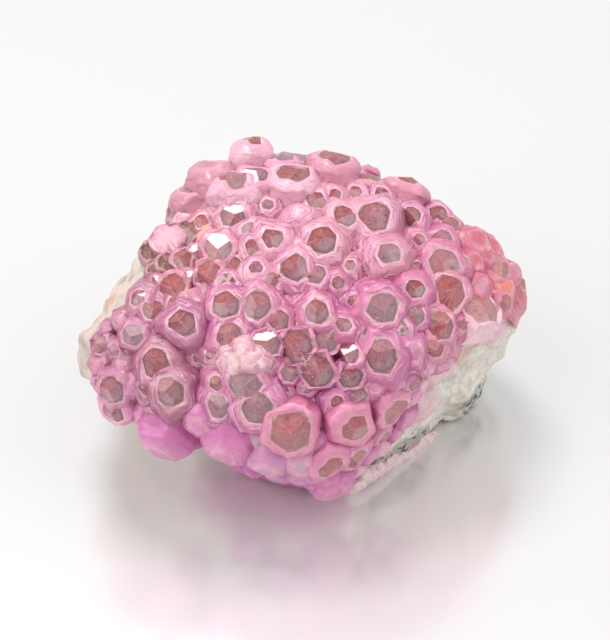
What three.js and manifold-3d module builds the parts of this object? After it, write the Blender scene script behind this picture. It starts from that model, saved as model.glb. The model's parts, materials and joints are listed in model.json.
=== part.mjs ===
// A cluster of cobaltoan calcite: stout crystals with three-faced ends, grown together over a broken
// white rock.
// Millimetres, +Z up. The origin is on the surface the specimen rests on, under the middle of its box.
import * as THREE from "three";
import { ConvexGeometry } from "three/addons/geometries/ConvexGeometry.js";
import { mergeVertices } from "three/addons/utils/BufferGeometryUtils.js";
import Module from "manifold-3d";

const wasm = await Module();
wasm.setup();

// ---- Driving dimensions ----

const middle = new THREE.Vector3(0.5, 1.2, 14.4); // the middle of the rock's rounded form
const sight = { distance: 250, elevation: 38 }; // where the layout sheet is seen from, in mm and degrees
const sheet = {
  step: 0.115, // mm for one sheet step
  centre: [305, 320], // the sheet point over the middle
};

// The rock: a rounded form, flattened by planes that each face one way at a distance from the middle.
const rock = {
  offset: [-2.2, 0.6, -4.2],
  halfSizes: [28.2, 22.0, 21.0],
  blend: 3.2, // how widely the sides run into each other
  sides: [
    { facing: [0.68, -0.68, -0.27], distance: 17.2 }, // right front, the broken face
    { facing: [-0.77, 0.36, 0.5], distance: 19.4 }, // left top
    { facing: [0.47, 0.54, 0.69], distance: 18.3 }, // right top
    { facing: [0.12, 0.98, -0.14], distance: 17.6 }, // back
    { facing: [-0.6, -0.22, -0.77], distance: 18.4 }, // left underside
    { facing: [-0.35, -0.75, -0.56], distance: 18.6 }, // front underside
  ],
  detail: 8, // how finely its surface is divided
  relief: {
    lumps: [
      { size: 19, height: 0.5, shift: 0.7 },
      { size: 9, height: 0.35, shift: 2.1 },
    ],
    ledges: { across: [0.35, 0.25, 0.9], thickness: 5.2, depth: 0.8 },
    pits: [
      { at: [18.2, -4.1, -1.9], radius: 4.2, depth: 1.3 },
      { at: [20.9, 1.0, -8.8], radius: 3.8, depth: 1.1 },
      { at: [12.0, -10.9, -8.9], radius: 3.6, depth: 0.9 },
      { at: [-23.1, -3.0, 3.1], radius: 4.5, depth: 1.2 },
      { at: [-17.1, 10.0, 7.6], radius: 4.2, depth: 0.9 },
      { at: [3.4, 18.5, -2.4], radius: 6.5, depth: 1.5 },
      { at: [-12.6, 17.5, -5.4], radius: 5.0, depth: 1.2 },
    ],
  },
};

// A crystal: a six-sided barrel that swells below its rim, under a roof of three flat faces.
const form = {
  sides: 6,
  roofSlope: 24, // degrees that a roof face falls away from the tip
  rise: 0.95, // how far the tip stands out of the rock, in body radii
  rootDepth: 0.5, // how far the root runs into the rock, in body radii
  rootFlare: 2.4, // root radius, in body radii
};
const gapToRock = 0.3;

// A row is the crystal's tip on the layout sheet, its roof radius and its body radius, all in sheet steps.
// A fifth number turns the roof, in degrees. A sixth scales how far the crystal stands out.
const crystals = [
  // left end
  [96, 343, 8, 12], [93, 367, 8, 13], [112, 353, 7, 13], [130, 334, 11, 17], [110, 391, 12, 18],
  [110, 413, 11, 17, 0, 1.2], [128, 386, 7, 12], [124, 346, 4, 8], [104, 326, 5, 9], [119, 318, 6, 10],
  [138, 314, 5, 9],
  // left top
  [147, 248, 10, 12], [166, 236, 14, 17], [174, 211, 6, 9], [188, 229, 9, 12], [165, 260, 8, 12],
  [182, 259, 8, 11], [193, 262, 6, 9], [150, 268, 6, 9], [214, 248, 14, 18], [207, 272, 11, 14],
  [170, 285, 11, 15], [152, 286, 6, 10], [190, 282, 6, 10],
  // left middle
  [151, 309, 10, 14], [174, 304, 8, 13], [182, 322, 13, 20, 180], [160, 328, 8, 12], [156, 340, 5, 9],
  [153, 364, 13, 19], [168, 392, 13, 24], [144, 388, 7, 13], [225, 303, 13, 18, 330], [228, 335, 12, 18],
  [256, 304, 13, 17], [198, 358, 5, 11, 0, 0.5], [218, 407, 10, 17], [157, 414, 8, 14],
  // knobs along the bottom
  [160, 457, 10, 24, 0, 1.1], [188, 448, 5, 9], [222, 466, 10, 25], [262, 477, 9, 24], [300, 462, 7, 13],
  [338, 500, 10, 20], [331, 458, 10, 15], [291, 433, 15, 23], [255, 446, 9, 15], [356, 431, 13, 22],
  [357, 463, 12, 17], [399, 416, 14, 20], [392, 444, 6, 14], [418, 386, 8, 13], [415, 408, 7, 12],
  [410, 431, 8, 13], [376, 466, 6, 11], [318, 484, 7, 14], [246, 470, 6, 13], [196, 428, 8, 17],
  [140, 426, 8, 14],
  // crest
  [174, 200, 5, 9], [196, 186, 11, 18], [205, 163, 12, 20, 0, 1.4], [233, 177, 11, 20],
  [252, 142, 9, 18, 0, 1.9], [281, 156, 12, 17, 0, 1.2], [258, 177, 10, 16], [294, 171, 14, 22],
  [334, 157, 14, 20, 180, 1.3], [368, 176, 9, 13],
  [370, 167, 5, 9, 0, 1.6], [383, 182, 4, 9], [409, 178, 11, 18, 0, 1.4],
  // upper middle
  [232, 214, 11, 16], [250, 229, 8, 13], [253, 246, 8, 14], [273, 237, 10, 20], [268, 204, 7, 13],
  [315, 197, 12, 18], [345, 214, 12, 17, 180], [377, 214, 15, 22], [324, 237, 14, 20, 180],
  [391, 252, 11, 22], [383, 193, 8, 14], [405, 192, 8, 15], [413, 212, 8, 17], [420, 238, 6, 13],
  [355, 190, 6, 12], [273, 276, 11, 16], [293, 267, 12, 19], [201, 220, 7, 12], [292, 226, 7, 12],
  [288, 212, 6, 13], [335, 193, 6, 13],
  // middle
  [317, 311, 12, 18], [279, 321, 9, 13], [268, 342, 12, 15], [295, 346, 14, 17], [324, 342, 12, 15],
  [347, 352, 11, 15], [317, 371, 14, 18], [290, 373, 9, 13], [337, 373, 6, 9], [351, 376, 12, 15],
  [333, 384, 6, 9], [357, 397, 10, 15], [376, 386, 6, 12], [243, 384, 15, 20], [257, 409, 13, 21],
  [268, 362, 7, 11], [243, 358, 12, 19], [300, 323, 5, 8], [283, 392, 6, 12, 0, 0.6],
  [291, 305, 4, 8, 0, 0.6], [354, 300, 6, 13, 0, 0.7], [212, 356, 6, 13, 0, 0.7],
  // right middle
  [416, 288, 9, 18], [415, 316, 10, 14], [385, 307, 15, 21], [397, 332, 11, 15], [371, 338, 9, 13],
  [382, 356, 14, 20], [452, 290, 16, 19, 60], [442, 326, 13, 19, 30], [436, 348, 12, 20],
  [438, 306, 5, 10], [445, 262, 15, 22], [444, 237, 10, 15], [439, 211, 9, 14], [452, 222, 9, 13],
  // right end
  [463, 228, 8, 12], [478, 258, 9, 14], [490, 236, 11, 19], [507, 254, 12, 16], [507, 282, 10, 14],
  [518, 264, 8, 13, 0, 1.5], [484, 304, 15, 18], [511, 303, 9, 13], [480, 283, 9, 13], [498, 322, 8, 13],
  [470, 328, 6, 12],
];

// The crystals that fill the hollows between the others, and those over the crest on the far side.
const strewn = {
  count: 900, // points tried, spread evenly over the whole rock
  roof: [0.7, 1.1], // least and most roof radius, mm
  body: [1.3, 2.1],
  apart: 1.3, // mm kept free beyond two thirds of every other crystal's body radius
  neighbours: 6, // how many others a hollow has round it
  within: 5.2, // mm
  facing: 0.4, // how much a hollow faces the eye at least
  leftmost: -0.5, // of its facing's X, for the left side is bare
  stand: 1,
};
const farSide = {
  count: 260,
  roof: [1.2, 1.8],
  body: [2.1, 3.0],
  apart: 1.9,
  stand: 0.5, // they stay below the crest
  lowest: 1.5, // mm over the middle
  facing: 0.1, // how much it faces the eye at most
  leftmost: -0.35,
};

// ---- The rock's form ----

const fraction = (value) => value - Math.floor(value);

const smoothMax = (a, b, width) => {
  const overlap = Math.max(width - Math.abs(a - b), 0) / width;
  return Math.max(a, b) + (overlap * overlap * width) / 4;
};

// How far a point stands out of the rock's form, in mm.
function outside(point) {
  const p = point.clone().sub(middle);
  const q = p.clone().sub(new THREE.Vector3(...rock.offset));
  const sizes = new THREE.Vector3(...rock.halfSizes);
  const reach = q.clone().divide(sizes).length();
  const slope = q.clone().divide(sizes).divide(sizes).length();
  let distance = slope > 0 ? (reach * (reach - 1)) / slope : -sizes.z;
  for (const side of rock.sides) {
    const facing = new THREE.Vector3(...side.facing).normalize();
    distance = smoothMax(distance, facing.dot(p) - side.distance, rock.blend);
  }
  return distance;
}

function steepest(point) {
  const h = 0.05;
  const along = (axis) =>
    outside(point.clone().addScaledVector(axis, h)) - outside(point.clone().addScaledVector(axis, -h));
  return new THREE.Vector3(
    along(new THREE.Vector3(1, 0, 0)),
    along(new THREE.Vector3(0, 1, 0)),
    along(new THREE.Vector3(0, 0, 1)),
  ).normalize();
}

// The first point on a ray where a form's distance falls to a height, or else where the ray passes
// closest.
function meet(distanceTo, height, start, direction, from, to) {
  const at = (t) => start.clone().addScaledVector(direction, t);
  const stride = 0.4;
  let best = from;
  for (let t = from; t < to; t += stride) {
    if (distanceTo(at(t)) < height) {
      let [low, high] = [t - stride, t];
      for (let i = 0; i < 20; i++) {
        const half = (low + high) / 2;
        if (distanceTo(at(half)) < height) high = half;
        else low = half;
      }
      return at(high);
    }
    if (distanceTo(at(t)) < distanceTo(at(best))) best = t;
  }
  return at(best);
}

// The same distance with the broken rock's lumps, pits and ledges.
function outsideRelief(point) {
  const { lumps, ledges, pits } = rock.relief;
  const p = point.clone().sub(middle);
  let distance = outside(point);
  for (const { size, height, shift } of lumps) {
    const wave = (2 * Math.PI) / size;
    const across = Math.sin(wave * p.x + shift) * Math.sin(wave * p.y + 2 * shift);
    const swell = across + Math.sin(wave * p.z + shift);
    distance -= (height * swell) / 2;
  }
  const layer = new THREE.Vector3(...ledges.across).normalize().dot(p) / ledges.thickness;
  distance += ledges.depth * Math.abs(2 * fraction(layer) - 1) ** 2;
  for (const { at, radius, depth } of pits) {
    const away = p.distanceTo(new THREE.Vector3(...at)) / radius;
    if (away < 1) distance += depth * (1 - away * away) ** 2;
  }
  return distance;
}

// ---- Where the crystals stand ----

const tilt = THREE.MathUtils.degToRad(sight.elevation);
const towardsEye = new THREE.Vector3(0, -Math.cos(tilt), Math.sin(tilt));
const sheetRight = new THREE.Vector3(1, 0, 0);
const sheetUp = new THREE.Vector3(0, Math.sin(tilt), Math.cos(tilt));
const eye = middle.clone().addScaledVector(towardsEye, sight.distance);
const searched = 45; // mm before and behind the middle

function placeFromSheet([x, y, roof, body, turn = 0, stand = 1]) {
  const target = middle
    .clone()
    .addScaledVector(sheetRight, (x - sheet.centre[0]) * sheet.step)
    .addScaledVector(sheetUp, (sheet.centre[1] - y) * sheet.step);
  const direction = target.sub(eye).normalize();
  const bodyRadius = body * sheet.step;
  const height = form.rise * bodyRadius * stand;
  const [near, far] = [sight.distance - searched, sight.distance + searched];
  const tip = meet(outside, height, eye, direction, near, far);
  return { tip, axis: steepest(tip), roof: roof * sheet.step, body: bodyRadius, turn };
}

const scatter = (index, salt) => fraction(Math.sin(index * 12.9898 + salt * 78.233) * 4375.5453);
const between = ([low, high], share) => low + (high - low) * share;

function strew(placed, kind, wanted) {
  const goldenAngle = Math.PI * (3 - Math.sqrt(5));
  for (let i = 0; i < kind.count; i++) {
    const up = 1 - (2 * (i + 0.5)) / kind.count;
    const out = Math.sqrt(1 - up * up);
    const direction = new THREE.Vector3(
      Math.cos(i * goldenAngle) * out,
      Math.sin(i * goldenAngle) * out,
      up,
    );
    const body = between(kind.body, scatter(i, 1));
    const start = middle.clone().addScaledVector(direction, searched);
    const height = form.rise * kind.stand * body;
    const tip = meet(outside, height, start, direction.clone().negate(), 0, searched);
    const axis = steepest(tip);
    const near = placed.some((other) => other.tip.distanceTo(tip) - (2 / 3) * other.body < kind.apart);
    if (near || axis.x < kind.leftmost || !wanted(tip, axis.dot(towardsEye))) continue;
    placed.push({ tip, axis, roof: between(kind.roof, scatter(i, 2)), body, turn: 360 * scatter(i, 3) });
  }
}

const placed = crystals.map(placeFromSheet);
strew(placed, farSide, (tip, facing) => facing < farSide.facing && tip.z - middle.z > farSide.lowest);
strew(placed, strewn, (tip, facing) => {
  const around = placed.filter((other) => other.tip.distanceTo(tip) < strewn.within);
  return facing > strewn.facing && around.length >= strewn.neighbours;
});

// ---- Solids ----

function solidOf(geometry) {
  const bare = geometry.index ? geometry.toNonIndexed() : geometry.clone();
  bare.deleteAttribute("normal");
  bare.deleteAttribute("uv");
  const merged = mergeVertices(bare, 1e-4);
  return new wasm.Manifold(
    new wasm.Mesh({
      numProp: 3,
      vertProperties: new Float32Array(merged.attributes.position.array),
      triVerts: new Uint32Array(merged.index.array),
    }),
  );
}

function geometryOf(solid) {
  const mesh = solid.getMesh();
  const geometry = new THREE.BufferGeometry();
  geometry.setAttribute("position", new THREE.BufferAttribute(new Float32Array(mesh.vertProperties), 3));
  geometry.setIndex(new THREE.BufferAttribute(new Uint32Array(mesh.triVerts), 1));
  const faceted = geometry.toNonIndexed();
  faceted.computeVertexNormals();
  return faceted;
}

// The tip is at the origin and the axis runs up +Z.
function crystalSolid({ roof, body, turn }, height) {
  const slope = Math.tan(THREE.MathUtils.degToRad(form.roofSlope));
  const rings = [
    [0.1 * roof, 0.9 * roof],
    [-0.9 * body + 0.35 * roof, body],
    [-height - form.rootDepth * body, form.rootFlare * body],
  ];
  const points = rings.flatMap(([z, radius]) =>
    Array.from({ length: form.sides }, (_, i) => {
      const angle = (i * 2 * Math.PI) / form.sides;
      return new THREE.Vector3(Math.cos(angle) * radius, Math.sin(angle) * radius, z);
    }),
  );
  const barrel = solidOf(new ConvexGeometry(points));
  const reach = 4 * body + height;
  const roofPoints = [new THREE.Vector3(0, 0, 0)];
  for (let i = 0; i < 3; i++) {
    const angle = (i * 2 * Math.PI) / 3;
    const [x, y] = [Math.cos(angle) * reach, Math.sin(angle) * reach];
    roofPoints.push(new THREE.Vector3(x, y, (-slope * reach) / 2));
    roofPoints.push(new THREE.Vector3(x, y, -3 * reach));
  }
  const roofSolid = solidOf(new ConvexGeometry(roofPoints));
  const spin = new THREE.Matrix4().makeRotationZ(THREE.MathUtils.degToRad(turn));
  return barrel.intersect(roofSolid).transform(spin.elements);
}

// Stands a crystal at its place: its axis along the given one, and turn 0 with a roof edge up the sheet.
function standing(crystal) {
  const across = new THREE.Vector3().crossVectors(sheetUp, crystal.axis).normalize();
  const x = new THREE.Vector3().crossVectors(crystal.axis, across).normalize();
  const place = new THREE.Matrix4().makeBasis(x, across, crystal.axis).setPosition(crystal.tip);
  return crystalSolid(crystal, outside(crystal.tip)).transform(place.elements);
}

function rockSolid(grown) {
  const ball = new THREE.IcosahedronGeometry(1, rock.detail);
  const spots = ball.attributes.position;
  for (let i = 0; i < spots.count; i++) {
    const direction = new THREE.Vector3().fromBufferAttribute(spots, i).normalize();
    const start = middle.clone().addScaledVector(direction, searched);
    const place = meet(outsideRelief, grown, start, direction.clone().negate(), 0, searched);
    spots.setXYZ(i, place.x, place.y, place.z);
  }
  const seat = new THREE.BoxGeometry(200, 200, 100).translate(0, 0, 50 - grown);
  return solidOf(ball).intersect(solidOf(seat));
}

// ---- The two pieces ----

const crust = wasm.Manifold.union(placed.map(standing)).subtract(rockSolid(gapToRock));

const finishes = {
  crystal: new THREE.MeshStandardMaterial({ color: 0xd98bb4, roughness: 0.3, metalness: 0 }),
  rock: new THREE.MeshStandardMaterial({ color: 0xd8d3c8, roughness: 0.85, metalness: 0 }),
};

const cluster = new THREE.Group();
const addPiece = (name, solid, material) => {
  const mesh = new THREE.Mesh(geometryOf(solid), material);
  mesh.name = name;
  cluster.add(mesh);
};
const grownTogether = crust.decompose().sort((a, b) => b.volume() - a.volume())[0];
addPiece("crystal_crust", grownTogether, finishes.crystal);
addPiece("host_rock", rockSolid(0), finishes.rock);

export default cluster;
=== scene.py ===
# A cobaltoan calcite cluster: pink crystals with clear three-faced ends, grown over a broken white rock.
import json
import math

import bmesh
import bpy
import numpy as np
from mathutils import Matrix, Vector, noise

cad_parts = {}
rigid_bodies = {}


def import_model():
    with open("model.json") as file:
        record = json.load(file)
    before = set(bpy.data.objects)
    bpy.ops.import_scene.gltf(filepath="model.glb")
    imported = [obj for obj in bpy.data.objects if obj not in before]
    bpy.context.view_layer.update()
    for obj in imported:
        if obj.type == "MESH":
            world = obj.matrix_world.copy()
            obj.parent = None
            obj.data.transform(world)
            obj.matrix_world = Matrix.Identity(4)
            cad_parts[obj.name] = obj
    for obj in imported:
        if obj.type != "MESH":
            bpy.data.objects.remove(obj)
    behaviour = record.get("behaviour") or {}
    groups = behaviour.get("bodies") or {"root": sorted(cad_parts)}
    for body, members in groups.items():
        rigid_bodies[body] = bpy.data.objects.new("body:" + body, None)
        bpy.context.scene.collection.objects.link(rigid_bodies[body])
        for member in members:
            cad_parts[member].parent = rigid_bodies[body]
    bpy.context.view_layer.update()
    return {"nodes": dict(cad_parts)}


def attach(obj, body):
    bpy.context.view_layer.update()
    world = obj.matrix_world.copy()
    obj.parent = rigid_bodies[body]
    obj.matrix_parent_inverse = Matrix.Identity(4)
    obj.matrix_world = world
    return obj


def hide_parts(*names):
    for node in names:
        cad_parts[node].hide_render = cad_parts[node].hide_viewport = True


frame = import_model()
scene = bpy.context.scene
mm = 0.001
print("frame loaded")

# The crystals are laid out on a sheet seen from the front, and meet the rock along the line of sight.
sight = {"distance": 250.0, "elevation": 38.0}  # mm and degrees
sheet = {"step": 0.115, "centre": (305, 320)}  # mm for one step, and the sheet point over the middle
middle = np.array([0.5, 1.2, 14.4])  # mm, where the camera looks and the rock's form is laid out from

tilt = math.radians(sight["elevation"])
towardsEye = np.array([0.0, -math.cos(tilt), math.sin(tilt)])
sheetRight = np.array([1.0, 0.0, 0.0])
sheetUp = np.array([0.0, math.sin(tilt), math.cos(tilt)])
eye = middle + towardsEye * sight["distance"]
searched = 45.0  # mm before and behind the middle

# the rock's rounded form in mm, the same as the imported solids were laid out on
rockForm = {
    "offset": (-2.2, 0.6, -4.2),
    "halfSizes": (28.2, 22.0, 21.0),
    "blend": 3.2,  # how wide the edges between its sides are rounded
    "sides": [  # each side's facing, and how far it lies from the middle
        ((0.68, -0.68, -0.27), 17.2),  # right front, the broken face
        ((-0.77, 0.36, 0.5), 19.4),  # left top
        ((0.47, 0.54, 0.69), 18.3),  # right top
        ((0.12, 0.98, -0.14), 17.6),  # back
        ((-0.6, -0.22, -0.77), 18.4),  # left underside
        ((-0.35, -0.75, -0.56), 18.6),  # front underside
    ],
}

crystal = {
    "rise": 0.95,  # how far a tip stands out of the rock, in body radii
    "ridgeSlope": 10.5,  # degrees a roof ridge falls away from the tip
    "slopeRange": 5,  # degrees from the flattest ridge to the steepest
    "uneven": 0.34,  # how much the six sides of a clear end differ in their distance
    "askew": 0.3,  # radians between the most turned sides of a clear end
    "aside": 0.3,  # how far the tip may lie off the middle, in roof radii
    "widen": 1.02,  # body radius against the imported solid's
    "skirt": 0.3,  # mm more on every body
    "slopes": (18.0, 62.0, 50.0),  # degrees down: at the clear end's edge, at the body and at the root
    "barrelSlopes": (18.0, 86.0, 80.0),
    "narrowSlope": 84,  # degrees, what both lower slopes come to where the spread is 0
    "shoulder": 0.6,  # the share of the rings that lies above the body
    "leastSwell": 0.15,  # mm the body stands out past the clear end
    "deeper": 0.4,  # mm more of every root
    "leastUpright": 0.45,  # cosine of the furthest lean that a root is made longer for
    "follows": 0.75,  # how far the body follows the outline of its clear end
    "level": 0.7,  # how much of the roof's slope is gone at the body
    "bends": 0.15,  # how far the sides bend in and out, in radii
    "lump": 0.3,  # mm, how uneven the sides are
    "bendsPerMm": 0.7,
    "lumpsToABend": 2.6,
    "seamMerge": 0.02,  # mm, points closer than this become one once the crystals are joined
    "perSide": 6,  # columns of faces to each of the six sides
    "rings": 18,
    "ledge": 0.045,  # mm, the height of a growth step
    "ledgeEvery": 0.42,  # mm down the side
    "rim": 0.05,  # mm, the bevel round a clear end
    "turnRange": 50,  # degrees by which the listed ones are turned unevenly
    "mirrorAngle": 8.0,  # degrees a clear face keeps from mirroring the key light
    "tries": 8,  # turns it may take for that
    "tryTurn": 15,  # degrees
}

# Lean turns a crystal from the rock's facing to the eye, or up the sheet where it is negative. Spread is how
# far the root runs out, lines how plainly the growth steps show, veil how milky the clear ends are, and root
# how far the crystal goes on into the rock, in body radii. Stand multiplies the rise. Turn is in degrees.
usual = {"lean": 0.35, "spread": 1.0, "lines": 1.0, "veil": 0.0, "root": 0.5, "barrel": False,
         "look": "", "stand": 1, "turn": 0}

# Rows are tip x, tip y, roof radius and body radius in sheet steps, and then look, stand and turn.
crystalGroups = [
    {"lean": 0.15, "spread": 0.65, "veil": 0.35, "lines": 0.5, "rows": [  # left end
        (97, 344, 9, 11), (95, 365, 8, 11, "cloudy"), (112, 350, 7, 12), (130, 334, 11, 16, "grey"),
        (110, 391, 13, 17), (110, 414, 11, 16, "", 1.2), (128, 386, 7, 12, "cloudy"), (124, 346, 4, 8),
        (104, 328, 5, 7, "cloudy"), (119, 319, 6, 9, "cloudy"), (138, 314, 5, 9), (98, 384, 5, 9),
        (120, 368, 5, 12, "cloudy")]},
    {"lean": 0.2, "spread": 0.65, "lines": 0.3, "root": 1.3, "rows": [  # left top
        (148, 249, 10, 10, "olive", 1, 40), (167, 236, 14, 14, "lavender"), (173, 211, 9, 9, "olive"),
        (188, 227, 11, 12, "olive", 1, 20), (166, 260, 9, 10, "olive"), (182, 258, 10, 11, "brown"),
        (195, 252, 7, 9, "glint"), (152, 268, 5, 7, "olive"), (218, 246, 14, 17, "glint"),
        (207, 272, 12, 14, "red"), (171, 285, 12, 14, "red"), (158, 281, 6, 9, "glint"),
        (190, 276, 6, 10, "glint"), (204, 236, 5, 9, "orange"), (176, 247, 4, 8, "cloudy"),
        (203, 226, 4, 9, "orange")]},
    {"rows": [  # left middle
        (151, 309, 10, 14), (174, 304, 8, 13), (182, 322, 13, 20, "", 1, 180), (160, 328, 8, 12),
        (156, 340, 5, 9), (153, 364, 13, 19), (168, 392, 13, 21), (144, 388, 7, 13),
        (225, 303, 13, 18, "", 1, 330), (228, 335, 12, 18), (256, 304, 13, 17), (198, 358, 5, 11, "", 0.5),
        (218, 407, 10, 17, "grey"), (157, 414, 7, 10)]},
    {"lean": 0.0, "lines": 0.2, "barrel": True, "look": "magenta", "rows": [  # knobs along the bottom
        (157, 456, 12, 27, "magenta", 1.3), (188, 448, 5, 10), (222, 460, 10, 25),
        (265, 474, 9, 23, "streaky"), (300, 470, 8, 18, "streaky"), (338, 498, 10, 19),
        (332, 470, 11, 17, "glowing", 1.3), (291, 433, 19, 24, "glowing"), (255, 444, 9, 13, "streaky"),
        (357, 431, 14, 22, "glowing"), (359, 462, 11, 17, "glowing"), (314, 482, 6, 15), (244, 464, 6, 13),
        (196, 428, 8, 18), (140, 426, 8, 14), (280, 464, 6, 14, "streaky"), (330, 488, 6, 14),
        (350, 484, 6, 12), (318, 448, 6, 14, "magenta", 0.8), (250, 478, 5, 13), (236, 472, 5, 12),
        (274, 482, 6, 13, "streaky"), (297, 484, 6, 13, "streaky"), (316, 490, 5, 11)]},
    {"lean": 0.0, "spread": 0.6, "lines": 0.3, "veil": 0.5, "rows": [  # by the broken face
        (399, 414, 14, 19, "glowing"), (386, 440, 8, 13, "glowing"), (418, 384, 8, 12),
        (416, 403, 7, 12, "cloudy"), (411, 424, 7, 12, "cloudy"), (374, 460, 6, 12, "cloudy"),
        (400, 438, 6, 11, "cloudy"), (388, 452, 5, 10, "pale"), (423, 392, 4, 9, "pale"),
        (362, 474, 5, 9, "pale")]},
    {"lean": 0.0, "spread": 0.5, "lines": 0.2, "look": "edge", "stand": 0.4,
     "roof": 3, "body": 8, "rows": [  # thin lower edge
        (359, 492), (365, 488), (371, 483), (377, 479), (383, 475), (389, 471), (395, 468), (401, 464),
        (407, 460), (413, 457), (419, 453, 3, 7), (425, 449, 3, 7), (432, 445, 3, 6), (439, 441, 3, 5)]},
    {"lean": -0.3, "lines": 0.35, "root": 0.9, "barrel": True, "rows": [  # crest
        (174, 200, 5, 9), (192, 184, 13, 21, "brown"), (205, 162, 13, 23, "dusk", 1.5),
        (234, 173, 13, 22, "frosted", 1.45), (252, 136, 10, 20, "frosted", 2),
        (281, 153, 13, 18, "grey", 1.3), (257, 171, 12, 16, "glint", 1.7), (368, 174, 11, 15, "brown", 1.1),
        (370, 165, 5, 9, "", 1.6), (386, 180, 7, 11), (409, 176, 12, 19, "brown", 1.4)]},
    {"lean": -0.12, "lines": 0.35, "barrel": True, "rows": [  # tall ones on the crest
        (295, 169, 16, 24, "frosted", 1.1), (334, 152, 15, 22, "brown", 1.5, 180)]},
    {"lean": 0.3, "lines": 0.9, "root": 0.9, "rows": [  # upper middle
        (232, 214, 11, 15, "glint"), (250, 229, 8, 13, "grey"), (253, 246, 8, 14), (273, 237, 10, 20),
        (267, 204, 6, 10, "grey"), (317, 198, 9, 13), (345, 214, 12, 17, "", 1, 180), (377, 214, 15, 22),
        (324, 237, 14, 20, "", 1, 180), (391, 252, 11, 22, "grey"), (383, 193, 8, 14), (405, 192, 8, 15),
        (413, 212, 8, 17), (420, 238, 6, 13), (355, 190, 6, 12), (271, 278, 9, 13), (294, 266, 12, 17),
        (201, 220, 7, 12, "red"), (292, 226, 7, 12, "cloudy"), (335, 193, 6, 13)]},
    {"rows": [  # middle
        (317, 311, 12, 18), (279, 321, 9, 13), (376, 386, 6, 12, "cloudy"), (243, 384, 15, 20, "grey"),
        (257, 409, 13, 21, "grey"), (268, 362, 7, 11), (231, 357, 5, 9, "cream", 2.2),
        (241, 353, 6, 10, "cream", 2.1), (252, 356, 5, 9, "cream", 2.3), (236, 365, 5, 9, "cream", 2.3),
        (247, 363, 5, 9, "cream", 2.5), (259, 362, 4, 8, "cream", 2.4), (226, 364, 4, 8, "cream", 2.2),
        (300, 323, 5, 8), (283, 392, 6, 12, "", 0.6), (291, 305, 4, 8, "", 0.6), (354, 300, 6, 13, "", 0.7),
        (212, 356, 6, 13, "", 0.7), (338, 282, 6, 15, "", 0.7), (350, 264, 5, 13, "", 0.7)]},
    {"spread": 0.45, "lines": 0.5, "rows": [  # close together in the middle
        (268, 342, 12, 14, "glint"), (295, 346, 15, 16), (324, 342, 12, 13, "grey"),
        (347, 352, 11, 13, "glint"), (317, 371, 15, 16), (290, 373, 9, 11, "grey"), (337, 373, 6, 8),
        (351, 376, 12, 14), (333, 385, 7, 8), (357, 397, 10, 12, "grey"), (307, 388, 6, 9, "grey")]},
    {"lean": 0.3, "lines": 0.8, "root": 0.9, "rows": [  # right middle
        (416, 288, 9, 18), (415, 316, 10, 14, "grey"), (385, 307, 15, 21, "grey"), (397, 332, 11, 15),
        (371, 338, 9, 13), (382, 356, 14, 20), (452, 290, 16, 19, "red", 1, 60),
        (443, 325, 12, 16, "red", 1, 30), (436, 349, 9, 15, "red"), (438, 306, 5, 10), (445, 262, 15, 20),
        (444, 237, 10, 15), (439, 211, 9, 14), (452, 222, 9, 13)]},
    {"lean": 0.15, "spread": 0.8, "lines": 0.4, "root": 0.7, "rows": [  # right end
        (463, 228, 8, 13), (478, 260, 8, 13, "ruby"), (481, 236, 11, 16, "ruby", 1.2),
        (494, 243, 10, 15, "ruby", 1.2), (488, 254, 7, 12, "ruby", 1.2), (476, 247, 6, 11, "ruby"),
        (502, 262, 13, 17, "glowing"), (507, 283, 9, 13, "ember"), (516, 268, 8, 12, "cloudy", 1.3),
        (508, 302, 9, 13, "glowing"), (484, 285, 7, 13, "cloudy"), (497, 322, 8, 14, "pale"),
        (474, 324, 7, 13, "pale")]},
    {"lean": -0.35, "spread": 0.5, "lines": 0.25, "barrel": True, "rows": [  # broad one on the right end
        (483, 301, 20, 22, "tawny", 0.75)]},
]

# Crystals that fill the hollows, and those over the crest on the far side. Roof and body are radii in mm;
# apart, within and lowest are mm; facing is the share of a crystal's axis that points to the eye, leftmost
# the least x of that axis, and clearShare how many have clear ends.
strewn = {"count": 1500, "roof": (0.6, 1.1), "body": (1.1, 2.0), "stand": 1.0, "apart": 1.1,
          "neighbours": 6, "within": 5.2, "facing": 0.4, "leftmost": -0.5, "clearShare": 0.45}
farSide = {"count": 260, "roof": (1.2, 1.8), "body": (2.1, 3.0), "stand": 0.5, "apart": 1.9,
           "lowest": 3.0, "facing": 0.3, "leftmost": -0.35, "clearShare": 0.8}


def smoothMax(a, b, width):  # the larger of two distances, rounded where they are alike
    overlap = np.maximum(width - np.abs(a - b), 0) / width
    return np.maximum(a, b) + overlap * overlap * width / 4


def outside(points):  # how far points stand out of the rock's form, in mm
    p = np.asarray(points) - middle
    q = p - np.array(rockForm["offset"])
    sizes = np.array(rockForm["halfSizes"])
    reach = np.linalg.norm(q / sizes, axis=-1)
    slope = np.linalg.norm(q / sizes / sizes, axis=-1)
    distance = reach * (reach - 1) / np.maximum(slope, 1e-9)
    for facing, far in rockForm["sides"]:
        n = np.array(facing) / np.linalg.norm(facing)
        distance = smoothMax(distance, p @ n - far, rockForm["blend"])
    return distance


def steepest(points):  # the way straight out of the rock's form
    h = 0.05
    grads = [outside(points + h * axis) - outside(points - h * axis) for axis in np.eye(3)]
    g = np.stack(grads, axis=-1)
    return g / np.linalg.norm(g, axis=-1, keepdims=True)


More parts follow.
